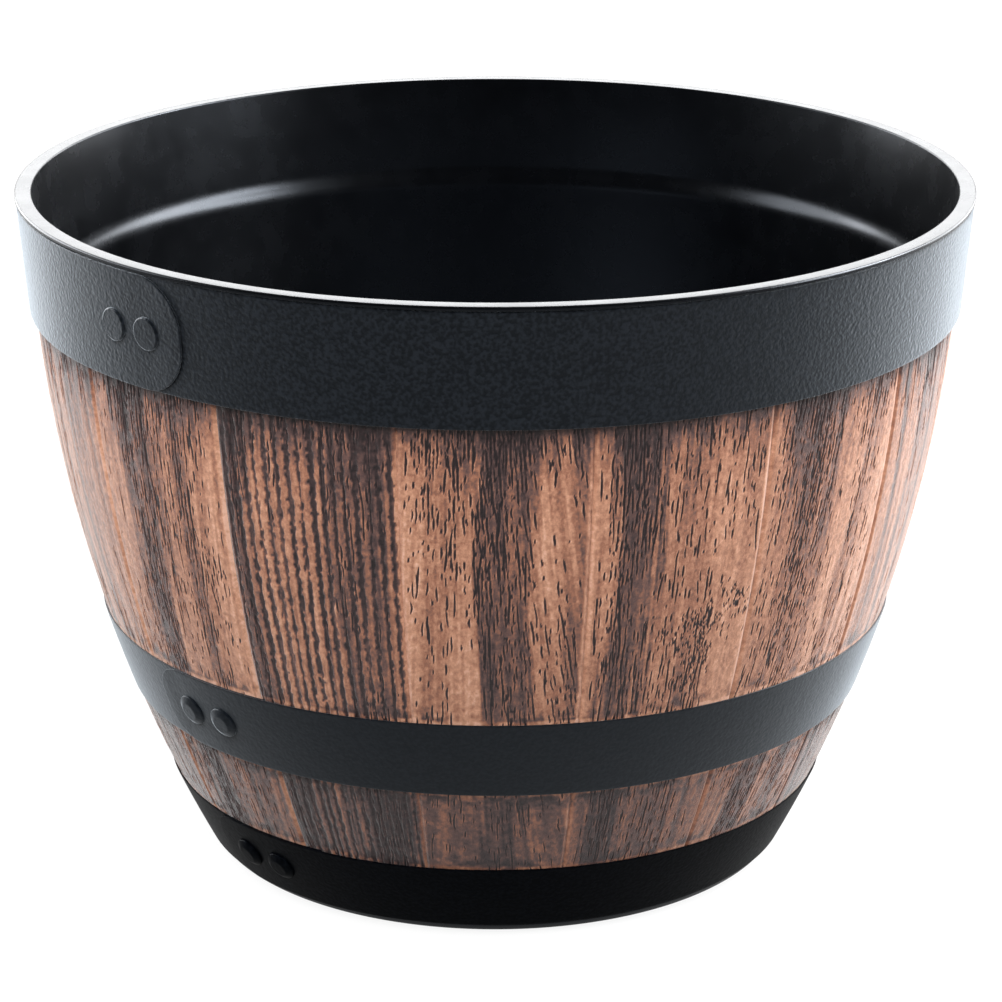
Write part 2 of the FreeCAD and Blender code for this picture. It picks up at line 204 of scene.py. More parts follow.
# Drain plug, which rests with its head on the floor of the pot
PLUG_HEAD = 13.0
PLUG_SHANK = 8.9
PLUG_GRIP = 4.5
PLUG_WAIST = 3.6
PLUG_LOW = 3.0
PLUG_HEAD_TOP = 8.5
PLUG_WAIST_HEIGHT = 12.0
PLUG_HIGH = 15.5
PLUG_EDGE = 0.8
PLUG_WAIST_ROUND = 2.0
PLUG_TIP = 0.5
PLUG_SIDES = 96

# Turned shapes
TURNED_ROUND_STEPS = 6
# Edges that turn by more than this look sharp
SHARP_TURN = math.radians(50)
HOOP_SHARP_TURN = math.radians(60)

# Camera, fitted to the photograph
PHOTO_SIZE = 1002
AXIS_COLUMN = 495.3
FOCAL_PIXELS = 3588.8
SENSOR = 36.0
CAMERA_ELEVATION = math.radians(18.9)
CAMERA_DISTANCE = 0.8906
AIM_HEIGHT = 0.08408


# Heights and radii read from the frame

# Points this near to a node's end count as its end
END_TOLERANCE = 0.01


def heights(node):
    """Lower and upper height of a node, in millimetres."""
    low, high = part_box(node)
    return low.z / MM, high.z / MM


def radius_at_end(node, upper):
    """Largest distance from the axis at a node's upper or lower end."""
    points = np.array([vertex.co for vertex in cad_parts[node].data.vertices]) / MM
    end = points[:, 2].max() if upper else points[:, 2].min()
    near = points[abs(points[:, 2] - end) < END_TOLERANCE]
    return np.hypot(near[:, 0], near[:, 1]).max()


STAVE_LOW, STAVE_HIGH = heights("stave_01")
RIM_LOW, RIM_HIGH = heights("rim_hoop")
MID_LOW, MID_HIGH = heights("mid_hoop")
BASE_LOW, BASE_HIGH = heights("base_hoop")
POT_HEIGHT = heights("inner_pot")[1]
RIM_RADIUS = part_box("inner_pot")[1].x / MM


def bend_centre():
    """Centre of the staves' bend in the radial section, from both ends of a stave."""
    low = np.array([radius_at_end("stave_01", False), STAVE_LOW])
    high = np.array([radius_at_end("stave_01", True), STAVE_HIGH])
    along = high - low
    half = np.hypot(*along) / 2
    inward = np.array([-along[1], along[0]]) / (2 * half)
    return (low + high) / 2 + inward * math.sqrt(STAVE_BEND ** 2 - half ** 2)


BEND_CENTRE = bend_centre()


def stave_radius(height, offset=0.0):
    """Distance from the axis of the staves' outer faces, or of a surface offset from them."""
    return BEND_CENTRE[0] + np.sqrt((STAVE_BEND + offset) ** 2 - (height - BEND_CENTRE[1]) ** 2)


def on_pot(angle, radius, height):
    """Points, in millimetres, from angles, radii and heights."""
    angle, radius, height = np.broadcast_arrays(angle, radius, height)
    return np.stack([radius * np.sin(angle), -radius * np.cos(angle), height], axis=-1)


# Noise

NOISE_CELLS = 128
# Cells by which the grain's noise is shifted across
NOISE_SHIFT = 40


def noise(x, y, seed):
    """Smooth noise from -1 to 1 in cells one unit wide, the same for the same seed."""
    table = np.random.default_rng(seed).uniform(-1, 1, (NOISE_CELLS, NOISE_CELLS))
    x, y = np.broadcast_arrays(x, y)
    column, row = np.floor(x).astype(int), np.floor(y).astype(int)
    across, up = x - column, y - row
    across, up = across ** 2 * (3 - 2 * across), up ** 2 * (3 - 2 * up)
    left, right = column % NOISE_CELLS, (column + 1) % NOISE_CELLS
    low, high = row % NOISE_CELLS, (row + 1) % NOISE_CELLS
    below = table[low, left] * (1 - across) + table[low, right] * across
    above = table[high, left] * (1 - across) + table[high, right] * across
    return below * (1 - up) + above * up


def ease(start, end, value):
    """0 before start, 1 after end, smooth in between; start may be the larger."""
    share = np.clip((value - start) / (end - start), 0, 1)
    return share ** 2 * (3 - 2 * share)


# Meshes

UV_MARGIN = 0.04
CAP_UV = 0.015
# Largest share of a side that the rounding of one corner takes up
CORNER_SHARE = 0.49


def tube(name, rings, closes=False, shares=None):
    """Mesh through rings of points in millimetres.  Each ring closes on itself; the ends are capped
    unless the last ring leads on to the first.  shares spreads the texture along a ring."""
    count, size = rings.shape[:2]
    steps = count if closes else count - 1
    ring, point = np.meshgrid(np.arange(steps), np.arange(size), indexing="ij")
    next_ring, next_point = (ring + 1) % count, (point + 1) % size
    quads = np.stack([ring * size + point, ring * size + next_point,
                      next_ring * size + next_point, next_ring * size + point], -1).reshape(-1, 4)
    if shares is None:
        shares = np.arange(size + 1) / size
    upright = UV_MARGIN + (1 - 2 * UV_MARGIN) * np.arange(steps + 1) / steps
    corners = np.stack([shares[point], upright[ring], shares[point + 1], upright[ring],
                        shares[point + 1], upright[ring + 1], shares[point], upright[ring + 1]], -1)
    points = rings.reshape(-1, 3)
    a, b, c, d = (points[quads[:, corner]] for corner in range(4))
    inside_out = (np.cross(c - a, d - b) * (a + b + c + d)).sum() < 0
    faces = quads.tolist()
    uv = [corners.reshape(-1, 2)]
    if not closes:
        turn = np.arange(size) / size * 2 * math.pi
        disc = CAP_UV * np.stack([np.cos(turn), np.sin(turn)], -1)
        faces.append(list(range(size))[::-1])
        uv.append(disc[::-1] + (0.5, UV_MARGIN / 2))
        faces.append(list(range((count - 1) * size, count * size)))
        uv.append(disc + (0.5, 1 - UV_MARGIN / 2))
    mesh = bpy.data.meshes.new(name)
    mesh.from_pydata((points * MM).tolist(), [], faces)
    texture = mesh.uv_layers.new(name="OFBake").uv
    texture.foreach_set("vector", np.concatenate(uv).astype(np.float32).ravel())
    if inside_out:
        mesh.flip_normals()
    mesh.shade_smooth()
    return mesh


def place(name, mesh, material, body, slot, *nodes):
    """Make a mesh a piece of the pot that stands for its frame nodes."""
    piece = bpy.data.objects.new(name, mesh)
    bpy.context.scene.collection.objects.link(piece)
    mesh.materials.append(material)
    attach(piece, body)
    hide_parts(*nodes)


def set_value(mesh, name, values):
    """Give each point of a mesh a number."""
    data = mesh.attributes.new(name, "FLOAT", "POINT").data
    data.foreach_set("value", values.astype(np.float32).ravel())


def set_vector(mesh, name, values):
    """Give each point of a mesh a vector."""
    data = mesh.attributes.new(name, "FLOAT_VECTOR", "POINT").data
    data.foreach_set("vector", values.astype(np.float32).ravel())


def rounded(corners, steps):
    """Closed outline through (across, up, radius) corners, each rounded to its radius."""
    points = np.array([corner[:2] for corner in corners], float)
    outline = []
    for index, corner in enumerate(corners):
        here, radius = points[index], corner[2]
        if radius == 0:
            outline.append(here)
            continue
        back = points[index - 1] - here
        ahead = points[(index + 1) % len(points)] - here
        back_room, ahead_room = np.hypot(*back), np.hypot(*ahead)
        back, ahead = back / back_room, ahead / ahead_room
        half = math.acos(np.clip(back @ ahead, -1, 1)) / 2
        reach = min(radius / math.tan(half), CORNER_SHARE * back_room, CORNER_SHARE * ahead_room)
        middle = back + ahead
        centre = here + middle / np.hypot(*middle) * reach / math.cos(half)
        start, end = here + back * reach - centre, here + ahead * reach - centre
        turn = math.atan2(start[0] * end[1] - start[1] * end[0], start @ end)
        for step in range(steps + 1):
            angle = turn * step / steps
            cos, sin = math.cos(angle), math.sin(angle)
            outline.append(centre + (start[0] * cos - start[1] * sin, start[0] * sin + start[1] * cos))
    return np.array(outline)


# Materials

COOL_TINT = (0.82, 0.91, 1.0, 1.0)
COOLER_TINT = (0.80, 0.88, 1.0, 1.0)


def add(tree, kind, inputs=None, **settings):
    """Node of a material, its inputs given as values or as the sockets that lead into them."""
    node = tree.nodes.new(f"ShaderNode{kind}")
    for key, value in settings.items():
        setattr(node, key, value)
    for key, value in (inputs or {}).items():
        if isinstance(value, bpy.types.NodeSocket):
            tree.links.new(value, node.inputs[key])
        else:
            node.inputs[key].default_value = value
    return node


def blank_material(name):
    """A new material and its empty node tree."""
    material = bpy.data.materials.new(name)
    material.use_nodes = True
    tree = material.node_tree
    tree.nodes.clear()
    return material, tree


def finish_material(tree, shader):
    """Lead a shader to the material's surface."""
    add(tree, "OutputMaterial", {"Surface": shader.outputs[0]})


def speckle(tree, vector, scale, detail, roughness):
    """Mottled noise from 0 to 1."""
    return add(tree, "TexNoise", {"Vector": vector, "Scale": scale, "Detail": detail,
                                  "Roughness": roughness}).outputs["Fac"]


def spread(tree, value, low, high):
    """A 0 to 1 value spread between two numbers."""
    return add(tree, "MapRange", {"Value": value, "To Min": low, "To Max": high}).outputs["Result"]


def ramp(tree, value, stops):
    """Colour from a value, through (position, colour) stops in rising order."""
    node = add(tree, "ValToRGB", {"Fac": value})
    elements = node.color_ramp.elements
    for index, (position, colour) in enumerate(stops):
        element = elements[index] if index < 2 else elements.new(position)
        element.position = position
        element.color = (*colour, 1)
    return node.outputs["Color"]


def wood_material():
    """Copper-brown rubbed over a near-black moulded grain."""
    material, tree = blank_material("wood_effect")
    grain_at = add(tree, "Attribute", attribute_name="grain_at").outputs["Vector"]
    tone = add(tree, "Attribute", attribute_name="tone").outputs["Fac"]
    fine = add(tree, "VectorMath", {0: grain_at, 1: (1.9, 1.2, 1.0)}, operation="MULTIPLY").outputs[0]
    stipple = speckle(tree, fine, 1.0, detail=4.0, roughness=0.78)
    uneven = spread(tree, stipple, -0.27, 0.27)
    mottled = add(tree, "Math", {0: tone, 1: uneven}, operation="ADD").outputs[0]
    colour = ramp(tree, mottled, [
        (0.00, (0.012, 0.007, 0.008)), (0.20, (0.049, 0.028, 0.028)), (0.40, (0.142, 0.074, 0.063)),
        (0.60, (0.370, 0.156, 0.092)), (0.84, (0.665, 0.335, 0.210)), (1.00, (0.860, 0.505, 0.365))])
    bump = add(tree, "Bump", {"Strength": 0.7, "Distance": 0.0002, "Height": stipple})
    shader = add(tree, "BsdfPrincipled", {
        "Base Color": colour, "Roughness": spread(tree, stipple, 0.52, 0.34),
        "Normal": bump.outputs[0], "Specular IOR Level": 0.70,
        "Sheen Weight": 0.50, "Sheen Roughness": 0.36})
    finish_material(tree, shader)
    return material


def hoop_material(name, valley, top, depth, gloss, sheen):
    """Black plastic with a pebbled mould grain, with a painted highlight on the tops of the pebbles."""
    material, tree = blank_material(name)
    position = add(tree, "TexCoord").outputs["Object"]
    pebbles = speckle(tree, position, 1150.0, detail=1.0, roughness=0.4)
    bump = add(tree, "Bump", {"Strength": 1.0, "Distance": depth, "Height": pebbles})
    # The paler top colour is a painted highlight on the tops of the pebbles
    shader = add(tree, "BsdfPrincipled", {
        "Base Color": ramp(tree, pebbles, [(0.40, valley), (0.64, top)]),
        "Roughness": spread(tree, pebbles, 0.46, 0.32),
        "Normal": bump.outputs[0], "Specular IOR Level": gloss, "Specular Tint": COOL_TINT,
        "Sheen Weight": sheen, "Sheen Roughness": 0.34, "Sheen Tint": COOL_TINT})
    finish_material(tree, shader)
    return material


def inner_material():
    """Smooth black plastic of the inner pot, its gloss uneven from handling."""
    material, tree = blank_material("inner_black")
    position = add(tree, "TexCoord").outputs["Object"]
    marks = speckle(tree, position, 120.0, detail=4.0, roughness=0.6)
    bump = add(tree, "Bump", {"Strength": 0.10, "Distance": 0.0002, "Height": marks})
    colour = ramp(tree, marks, [(0.3, (0.0004, 0.0005, 0.0008)), (0.7, (0.0012, 0.0014, 0.0020))])
    shader = add(tree, "BsdfPrincipled", {
        "Base Color": colour, "Roughness": spread(tree, marks, 0.22, 0.32),
        "Normal": bump.outputs[0], "Specular IOR Level": 0.5, "Specular Tint": COOLER_TINT})
    finish_material(tree, shader)
    return material


def rubber_material():
    """Dull black rubber of the drain plug."""
    material, tree = blank_material("plug_rubber")
    position = add(tree, "TexCoord").outputs["Object"]
    dust = speckle(tree, position, 260.0, detail=4.0, roughness=0.6)
    bump = add(tree, "Bump", {"Strength": 0.2, "Distance": 0.0001, "Height": dust})
    colour = ramp(tree, dust, [(0.35, (0.016, 0.016, 0.017)), (0.75, (0.034, 0.034, 0.035))])
    shader = add(tree, "BsdfPrincipled", {
        "Base Color": colour, "Roughness": spread(tree, dust, 0.62, 0.80), "Normal": bump.outputs[0]})
    finish_material(tree, shader)
    return material


# Wood grain: tone and relief over one stave, in millimetres across and up

@dataclass
class Look:
    """How one kind of stave is grained.

    A streak is (offset across, half width, depth of tone).  cover says how thickly its pores stand,
    and run how long they are.  The grain leans by lean, and by fan more per millimetre across.
    lines is the strength of its close grain lines.  A swirl is (across, up, half width, half height).
    lift is how much paler than the others the whole stave is, or darker where it is negative.
    """
    streaks: list
    cover: float
    run: float
    lean: float = 0.0
    fan: float = 0.0
    lines: float = 0.0
    swirls: tuple = ()
    lift: float = 0.0


LOOKS = {
    "plain": Look([(1.5, 5.2, 0.36), (19.0, 2.0, 0.25)], cover=0.26, run=2.2, lean=-0.04, fan=-0.006),
    "cloudy": Look([(-10.5, 4.8, 0.42), (1.5, 3.0, 0.10)], cover=0.20, run=2.2,
                   swirls=((9.0, 88.0, 9.0, 6.0), (7.5, 77.0, 2.5, 9.0))),
    "speckled": Look([(-7.0, 6.5, 0.27), (9.0, 2.0, 0.16)], cover=0.18, run=1.5, lean=0.08, lift=0.08),
    "split": Look([(-6.0, 5.5, 0.40), (8.0, 2.0, 0.20)], cover=0.24, run=2.4, lean=0.03),
    "lined": Look([(12.0, 6.0, 0.30), (-17.5, 3.5, 0.28)], cover=-0.10, run=2.6, lines=1.0, lift=-0.05),
    "ruled": Look([(-13.0, 0.5, 0.45), (-4.5, 0.5, 0.45), (4.0, 0.4, 0.40)], cover=0.02, run=6.0,
                  lean=-0.03, lift=-0.07),
}
# Look of each stave, the first at the front and the others on round towards +X
STAVE_LOOKS = ["plain", "cloudy", "speckled", "ruled", "split", "plain", "lined", "cloudy",
               "speckled", "split", "plain", "lined", "cloudy", "ruled", "split", "lined"]


class Grain:
    """Tone and relief of one stave on a grid of columns across and rows up.

    Each layer of noise has a number of its own, so that no two of them are alike.
    """

    def __init__(self, number, across, up):
        self.look = LOOKS[STAVE_LOOKS[number - 1]]
        self.seed = 1000 * number
        self.x = across[None, :]
        self.y = up[:, None]
        self.pore = np.zeros((up.size, across.size))
        self.edge = np.zeros((up.size, across.size))
        self.leaned = self.x - (self.look.lean + self.look.fan * self.x) * (self.y - LEAN_HEIGHT)

    def noise(self, wide, tall, layer):
        """Noise that follows the lean of the grain."""
        return noise(self.leaned / wide + NOISE_SHIFT, self.y / tall, self.seed + layer)

    def upright_noise(self, wide, tall, layer):
        """Noise that stands upright, the same all the way up where tall is infinite."""
        return noise(self.x / wide + NOISE_SHIFT, self.y / tall, self.seed + layer)

    def level_noise(self, tall, layer):
        """Noise that is the same all the way across."""
        return noise(0.0, self.y / tall, self.seed + layer)

    def narrow_strands(self):
        """Strands that show in the tone and in the relief."""
        return self.noise(1.6, 40, 2)

    def strands(self):
        """Upright strands of lighter and darker tone."""
        broad = 0.08 * self.noise(6, 60, 1)
        hair = 0.09 * self.noise(0.55, 15, 3)
        return broad + 0.10 * self.narrow_strands() + hair

    def streaks(self):
        """Dark streaks that end in thin upright strands at both sides."""
        tone = 0
        for index, (offset, half, depth) in enumerate(self.look.streaks):
            sway = STREAK_SWAY * self.level_noise(34, 20 + index)
            feather = 2.2 * self.noise(1.1, 34, 30 + index) + 1.6 * self.noise(0.5, 13, 40 + index)
            inside = half - abs(self.x - offset - sway) + min(half / 3, 1) * feather
            fade = 0.80 + 0.20 * self.level_noise(26, 50 + index)
            tone = tone - depth * fade * ease(-STREAK_EDGE, STREAK_EDGE, inside)
        return tone

    def lines(self):
        """Uneven grain lines with nicked edges, as how far each point lies in a line."""
        drift = 0.5 * self.upright_noise(9, 38, 60) + 0.5 * self.upright_noise(2.6, 70, 63)
        from_line = abs(((self.x + drift) / LINE_PITCH) % 1 - 0.5) * 2
        nicks = 0.36 * self.noise(0.55, 0.85, 61)
        thickness = 0.16 * self.noise(2.4, 45, 64)
        reach = LINE_SHARE + nicks + thickness
        strength = 0.86 + 0.28 * self.noise(2.4, 30, 62)
        return self.look.lines * strength * ease(reach + LINE_EDGE, reach - LINE_EDGE, from_line)

    def at(self, field, x, y):
        """Values of a field at points across and up."""
        column = np.clip(np.searchsorted(self.x[0], x), 0, self.x.size - 1)
        row = np.clip(np.searchsorted(self.y[:, 0], y), 0, self.y.size - 1)
        return field[row, column]

    def press(self, x, y, length, width, slope, bow):
        """Press one pore, tapered to both ends, into the stave."""
        half = length / 2
        reach = width + COLLAR_WIDTH + abs(slope) * half + abs(bow)
        rows = slice(*np.searchsorted(self.y[:, 0], (y - half, y + half)))
        columns = slice(*np.searchsorted(self.x[0], (x - reach, x + reach)))
        up = self.y[rows] - y
        taper = np.sqrt(np.clip(1 - (up / half) ** 2, 0.01, 1))
        away = abs(self.x[:, columns] - x - slope * up - bow * (up / half) ** 2)
        pore = ease(width * taper, 0.5 * width * taper, away)
        # edge is the raised collar round the pore, later given a pale tone that is partly rubbed copper and
        # partly painted highlight
        edge = taper * ease(width * taper + COLLAR_WIDTH, width * taper, away)
        self.pore[rows, columns] = np.maximum(self.pore[rows, columns], pore)
        self.edge[rows, columns] = np.maximum(self.edge[rows, columns], edge)

    def pore_density(self, shade):
        """Chance of a pore, larger where the tone is dark and under the rim hoop, smaller at the joints."""
        density = self.look.cover + PORE_PATCHES * self.noise(7, 24, 4) - PORES_IN_SHADE * shade
        density = density + PORES_UNDER_RIM * ease(*PORE_RIM_DEPTHS, RIM_LOW - self.y)
        return density - ease(JOINT_MARGIN, 0.5 * JOINT_MARGIN, self.x.max() - abs(self.x))

    def press_pores(self, shade):
        """Pores one above another along upright fibres."""
        draw = np.random.default_rng(self.seed + 6)
        lean, fan, run = self.look.lean, self.look.fan, self.look.run
        reach = FIBRE_REACH * self.x.max()
        starts = np.arange(-reach, reach, FIBRE_STEP)
        fibre, y = np.meshgrid(starts, np.arange(STAVE_LOW, STAVE_HIGH, run))
        y = y + run * draw.uniform(-0.5, 0.5, y.shape)
        wander = 0.8 * noise(fibre / 6 + NOISE_SHIFT, y / 26, self.seed + 7)
        fibre = fibre + draw.normal(0, FIBRE_JITTER, y.shape) + wander
        climb = y - LEAN_HEIGHT
        x = (fibre + lean * climb) / (1 - fan * climb)
        slope = (lean + fan * x) / (1 - fan * climb) + draw.normal(0, 0.05, y.shape)
        length = run * np.exp(draw.normal(0, 0.6, y.shape)) * (1 - self.at(shade, x, y))
        width = draw.uniform(*PORE_WIDTHS, y.shape)
        bow = draw.normal(0, 0.16, y.shape)
        kept = draw.random(y.shape) < self.at(self.pore_density(shade), x, y)
        for pore in zip(x[kept], y[kept], length[kept], width[kept], slope[kept], bow[kept]):
            self.press(*pore)

    def press_swirls(self):
        """Slanting bands of short pores that turn every way."""
        draw = np.random.default_rng(self.seed + 8)
        for x, y, wide, tall in self.look.swirls:
            count = round(SWIRL_DENSITY * wide * tall)
            along, beside = draw.uniform(-1, 1, count), draw.normal(0, 0.45, count)
            across, up = x + wide * (along - 0.7 * beside), y + tall * (along + 0.9 * beside)
            length, width = draw.uniform(*SWIRL_LENGTHS, count), draw.uniform(*SWIRL_WIDTHS, count)
            slope, bow = draw.normal(0.2, 0.5, count), draw.normal(0, 0.2, count)
            for pore in zip(across, up, length, width, slope, bow):
                self.press(*pore)

    def under_rim(self):
        """Dark strands that hang from the rim hoop, partly stain and partly painted shade, over a painted
        shade that reaches further down.
        """
        below = RIM_LOW - self.y
        uneven = self.upright_noise(1.2, math.inf, 70) + self.noise(0.5, 9, 71)
        reach = RIM_STRAND_LENGTH * (1 + uneven / 2)
        # Strands that are partly stain and partly painted shade, over painted shade under the hoop
        return -RIM_STRAND_STAIN_AND_SHADE * ease(reach, 0, below) - RIM_PAINTED_SHADE * ease(*RIM_PAINTED_SHADE_DEPTHS, below)

    def along_hoops(self):
        """A rubbed line along the edges of the other hoops, with smudges beside it."""
        tone = 0
        for edge, side in ((MID_HIGH, 1), (BASE_HIGH, 1), (MID_LOW, -1)):
            away = side * (self.y - edge) + 0.25 * self.upright_noise(3, math.inf, 72)
            worn = 0.60 + 0.40 * self.upright_noise(1.7, math.inf, 73)
            smudge = ease(-0.2, 0.6, self.noise(2.4, 1.8, 74) + 0.5 * self.noise(0.6, 0.9, 75))
            tone = tone + HOOP_RUB * worn * ease(1.1, 0.5, away) * ease(-0.4, 0, away)
            tone = tone - HOOP_SMUDGE * smudge * ease(5.5, 1.0, away) * ease(0.6, 1.2, away)
        return tone

    def weave(self):
        """Work out the tone and the relief."""
        shade = self.strands() + self.streaks()
        lines = self.lines()
        self.press_pores(shade)
        self.press_swirls()
        pore, edge = self.pore, self.edge
        grit = 0.6 * self.noise(0.85, 1.0, 90) + 0.5 * self.noise(0.45, 0.55, 91)
        # The staves get painted shade towards the foot, where they face down
        hems = self.under_rim() + self.along_hoops() - LOW_PAINTED_SHADE * ease(*LOW_PAINTED_SHADE_HEIGHTS, self.y)
        tone = COPPER_TONE + self.look.lift + shade + hems - LINE_TONE * lines
        # The collars get a pale tone that is partly rubbed copper and partly painted highlight
        tone = np.maximum(tone, DARKEST_TONE) + GRIT_TONE * grit + COLLAR_RUB_AND_HIGHLIGHT * edge
        tone = tone * (1 - pore) + PORE_TONE * pore
        relief = COLLAR_HEIGHT * edge - PORE_DEPTH * pore - LINE_DEPTH * lines
        relief = relief + GRIT_HEIGHT * grit + STRAND_HEIGHT * self.narrow_strands()
        return np.clip(tone, 0, 1), relief


def build_stave(number, material):
    """One stave: its grained outer face, bevelled at both joints, and its plain inner face."""
    half = STAVE_ANGLE / 2 * FLAT_RADIUS
    across = np.linspace(-half, half, round(2 * half / COLUMN_STEP) + 1)
    up = np.linspace(STAVE_LOW, STAVE_HIGH, round((STAVE_HIGH - STAVE_LOW) / ROW_STEP) + 1)
    tone, relief = Grain(number, across, up).weave()
    from_edge = half - abs(across)
    bevel = ease(JOINT_BEVEL, 0, from_edge)
    relief = relief * (1 - bevel) - JOINT_DEPTH * bevel
    # Painted highlight along the joint bevels, stronger on the right, which faces the brighter lamps
    rubbed = np.where(across > 0, RIGHT_JOINT_HIGHLIGHT, LEFT_JOINT_HIGHLIGHT)
    tone = tone + rubbed * ease(JOINT_HIGHLIGHT_START, JOINT_HIGHLIGHT_FULL, from_edge)

    height = up[:, None]
    radius = stave_radius(height)
    turn = (number - 1) * STAVE_ANGLE
    spread_angle = STAVE_ANGLE / 2 - JOINT_SLIT / 2 / radius
    outer = on_pot(turn + across[None, :] / half * spread_angle, radius + relief, height)
    back = np.linspace(1, -1, INNER_COLUMNS + 1)
    inner = on_pot(turn + back[None, :] * spread_angle, stave_radius(height, -STAVE_THICKNESS), height)
    rings = np.concatenate([outer, inner], axis=1)

    shares = np.concatenate([np.linspace(*OUTER_SHARES, len(across)),
                             np.linspace(*INNER_SHARES, INNER_COLUMNS + 1), [LAST_SHARE]])
    mesh = tube(f"wood_stave_{number:02d}", rings, shares=shares)
    backing = np.full((len(up), INNER_COLUMNS + 1), BACK_TONE)
    set_value(mesh, "tone", np.concatenate([tone, backing], axis=1))
    flat = np.concatenate([across, half * back])
    grain_at = np.stack(np.broadcast_arrays(flat[None, :], height, STIPPLE_STEP * number), axis=-1)
    set_vector(mesh, "grain_at", grain_at)
    place(mesh.name, mesh, material, "pot", "stave_wood_effect", f"stave_{number:02d}")


# Hoops

@dataclass
class RivetHead:
    """Shape of a rivet's head: its height, the height of its rim, the width of its shoulder and its
    rounding."""
    height: float
    rim_height: float
    shoulder: float
    rounding: float


@dataclass
class Hoop:
    """One hoop's strip.

    side is 1 where the free end of its lap points towards growing angles, and -1 where it points the
    other way.  corner rounds the free end, which stands off by lift.  pebble is the height of the mould
    grain.  A conical hoop is straight from edge to edge; the others follow the bend of the staves.
    """
    name: str
    low: float
    high: float
    side: int
    corner: float
    lift: float
    pebble: float
    head: RivetHead
    conical: bool = False

    @property
    def middle(self):
        return (self.low + self.high) / 2

    def radius(self, height, offset):
        """Distance from the axis at an offset from the hoop's inner face."""
        if self.conical:
            shoulder = float(stave_radius(self.low)) + RIM_STAND_OFF
            top = RIM_RADIUS - HOOP_SETBACK - HOOP_THICKNESS
            return shoulder + (top - shoulder) * (height - self.low) / (self.high - self.low) + offset
        return stave_radius(height, HOOP_GAP + offset)

    def turn(self, length):
        """Angle about the axis of a length along the strip."""
        return length / float(self.radius(self.middle, HOOP_THICKNESS))

    def tilt(self):
        """Angle by which the hoop's face leans outwards at mid height."""
        step = 0.5
        rise = self.radius(self.middle + step, 0) - self.radius(self.middle - step, 0)
        return math.atan2(float(rise), 2 * step)

    def section(self, to_end):
        """Outline of the strip, a distance from its free end, whose corners and edges are round."""
        cut = rounding_cut(self.corner, to_end)
        pinch = rounding_cut(HOOP_EDGE_ROUND, to_end)
        low, high = self.low + cut + pinch, self.high - cut - pinch
        thick = HOOP_THICKNESS - pinch
        rows = round((self.high - self.low) / HOOP_STEP)
        upright = np.linspace(low + HOOP_EDGE_ROUND, high - HOOP_EDGE_ROUND, rows)
        corners = [(0.0, low, HOOP_BACK_ROUND), (thick, low, HOOP_EDGE_ROUND)]
        corners += [(thick, height, 0.0) for height in upright[1:-1]]
        corners += [(thick, high, HOOP_EDGE_ROUND), (0.0, high, HOOP_BACK_ROUND)]
        return rounded(corners, HOOP_ROUND_STEPS)


def rounding_cut(radius, to_end):
    """How much a rounded end takes off the side of a strip, a distance from the end."""
    return radius - math.sqrt(max(radius ** 2 - max(radius - to_end, 0) ** 2, 0))


FLAT_HEAD = RivetHead(height=0.65, rim_height=0.40, shoulder=0.35, rounding=0.25)
DOMED_HEAD = RivetHead(height=1.25, rim_height=0.45, shoulder=1.6, rounding=1.3)
RIM_HOOP = Hoop("rim_hoop", RIM_LOW, RIM_HIGH, side=1, corner=12.0, lift=0.35, pebble=0.035,
                head=FLAT_HEAD, conical=True)
MID_HOOP = Hoop("mid_hoop", MID_LOW, MID_HIGH, side=-1, corner=8.5, lift=0.28, pebble=0.03,
                head=DOMED_HEAD)
BASE_HOOP = Hoop("base_hoop", BASE_LOW, BASE_HIGH, side=-1, corner=8.0, lift=0.06, pebble=0.02,
                 head=DOMED_HEAD)


def build_hoop(hoop, material):
    """A strip bent once round, its outer end stepped out and lapped over its inner end."""
    free_end = RIVET_PITCH / 2 + RIVET_INSET
    lap_start = -RIVET_PITCH / 2 - LAP_TAIL
    inner_end = lap_start + LAP_END_GAP - 2 * math.pi / hoop.turn(1)
    along = np.arange(inner_end, free_end, HOOP_STEP)
    quarter_turn = np.linspace(math.pi / 2, 0, HOOP_ROUND_STEPS + 1)
    end_steps = free_end - HOOP_EDGE_ROUND * (1 - np.cos(quarter_turn))
    along = np.concatenate([along[along < end_steps[0] - HOOP_END_ROOM], end_steps])
    whole = hoop.section(hoop.corner)
    sections = np.array([whole if to_end >= hoop.corner else hoop.section(to_end)
                         for to_end in free_end - along])
    across, up = sections[..., 0], sections[..., 1]
    lap = (HOOP_THICKNESS + LAP_CLEARANCE) * ease(lap_start - LAP_STEP, lap_start, along)
    lap = (lap + hoop.lift * ease(free_end - hoop.corner, free_end, along))[:, None]
    on_face = ease(*FACE_DEPTHS, HOOP_THICKNESS - across)
    length = along[:, None]
    pebbles = 0.5 - abs(noise(length / PEBBLE_SIZE, up / PEBBLE_SIZE, PEBBLE_SEED))
    pebbles = pebbles + 0.4 * noise(length / FINE_PEBBLE_SIZE, up / FINE_PEBBLE_SIZE, FINE_PEBBLE_SEED)
    radius = hoop.radius(up, across + lap) + hoop.pebble * on_face * pebbles
    rings = on_pot(LAP_DIRECTION + hoop.side * hoop.turn(1) * length, radius, up)
    mesh = tube(f"{hoop.name}_strip", rings)
    mesh.set_sharp_from_angle(angle=HOOP_SHARP_TURN)
    place(mesh.name, mesh, material, "pot", "hoop_plastic", hoop.name)


def rivet_outline(head):
    """Outline of a rivet from its axis outwards, measured from the face of the lap."""
    lap_face = 2 * HOOP_THICKNESS + LAP_CLEARANCE
    corners = [(RIVET_AXIS, -lap_face, 0), (RIVET_RADIUS - RIVET_SHANK_INSET, -lap_face, 0),
               (RIVET_RADIUS, -RIVET_SEAT, 0), (RIVET_RADIUS, head.rim_height, head.rounding),
               (RIVET_RADIUS - head.shoulder, head.height, head.rounding),
               (RIVET_AXIS, head.height, 0)]
    return rounded(corners, TURNED_ROUND_STEPS)


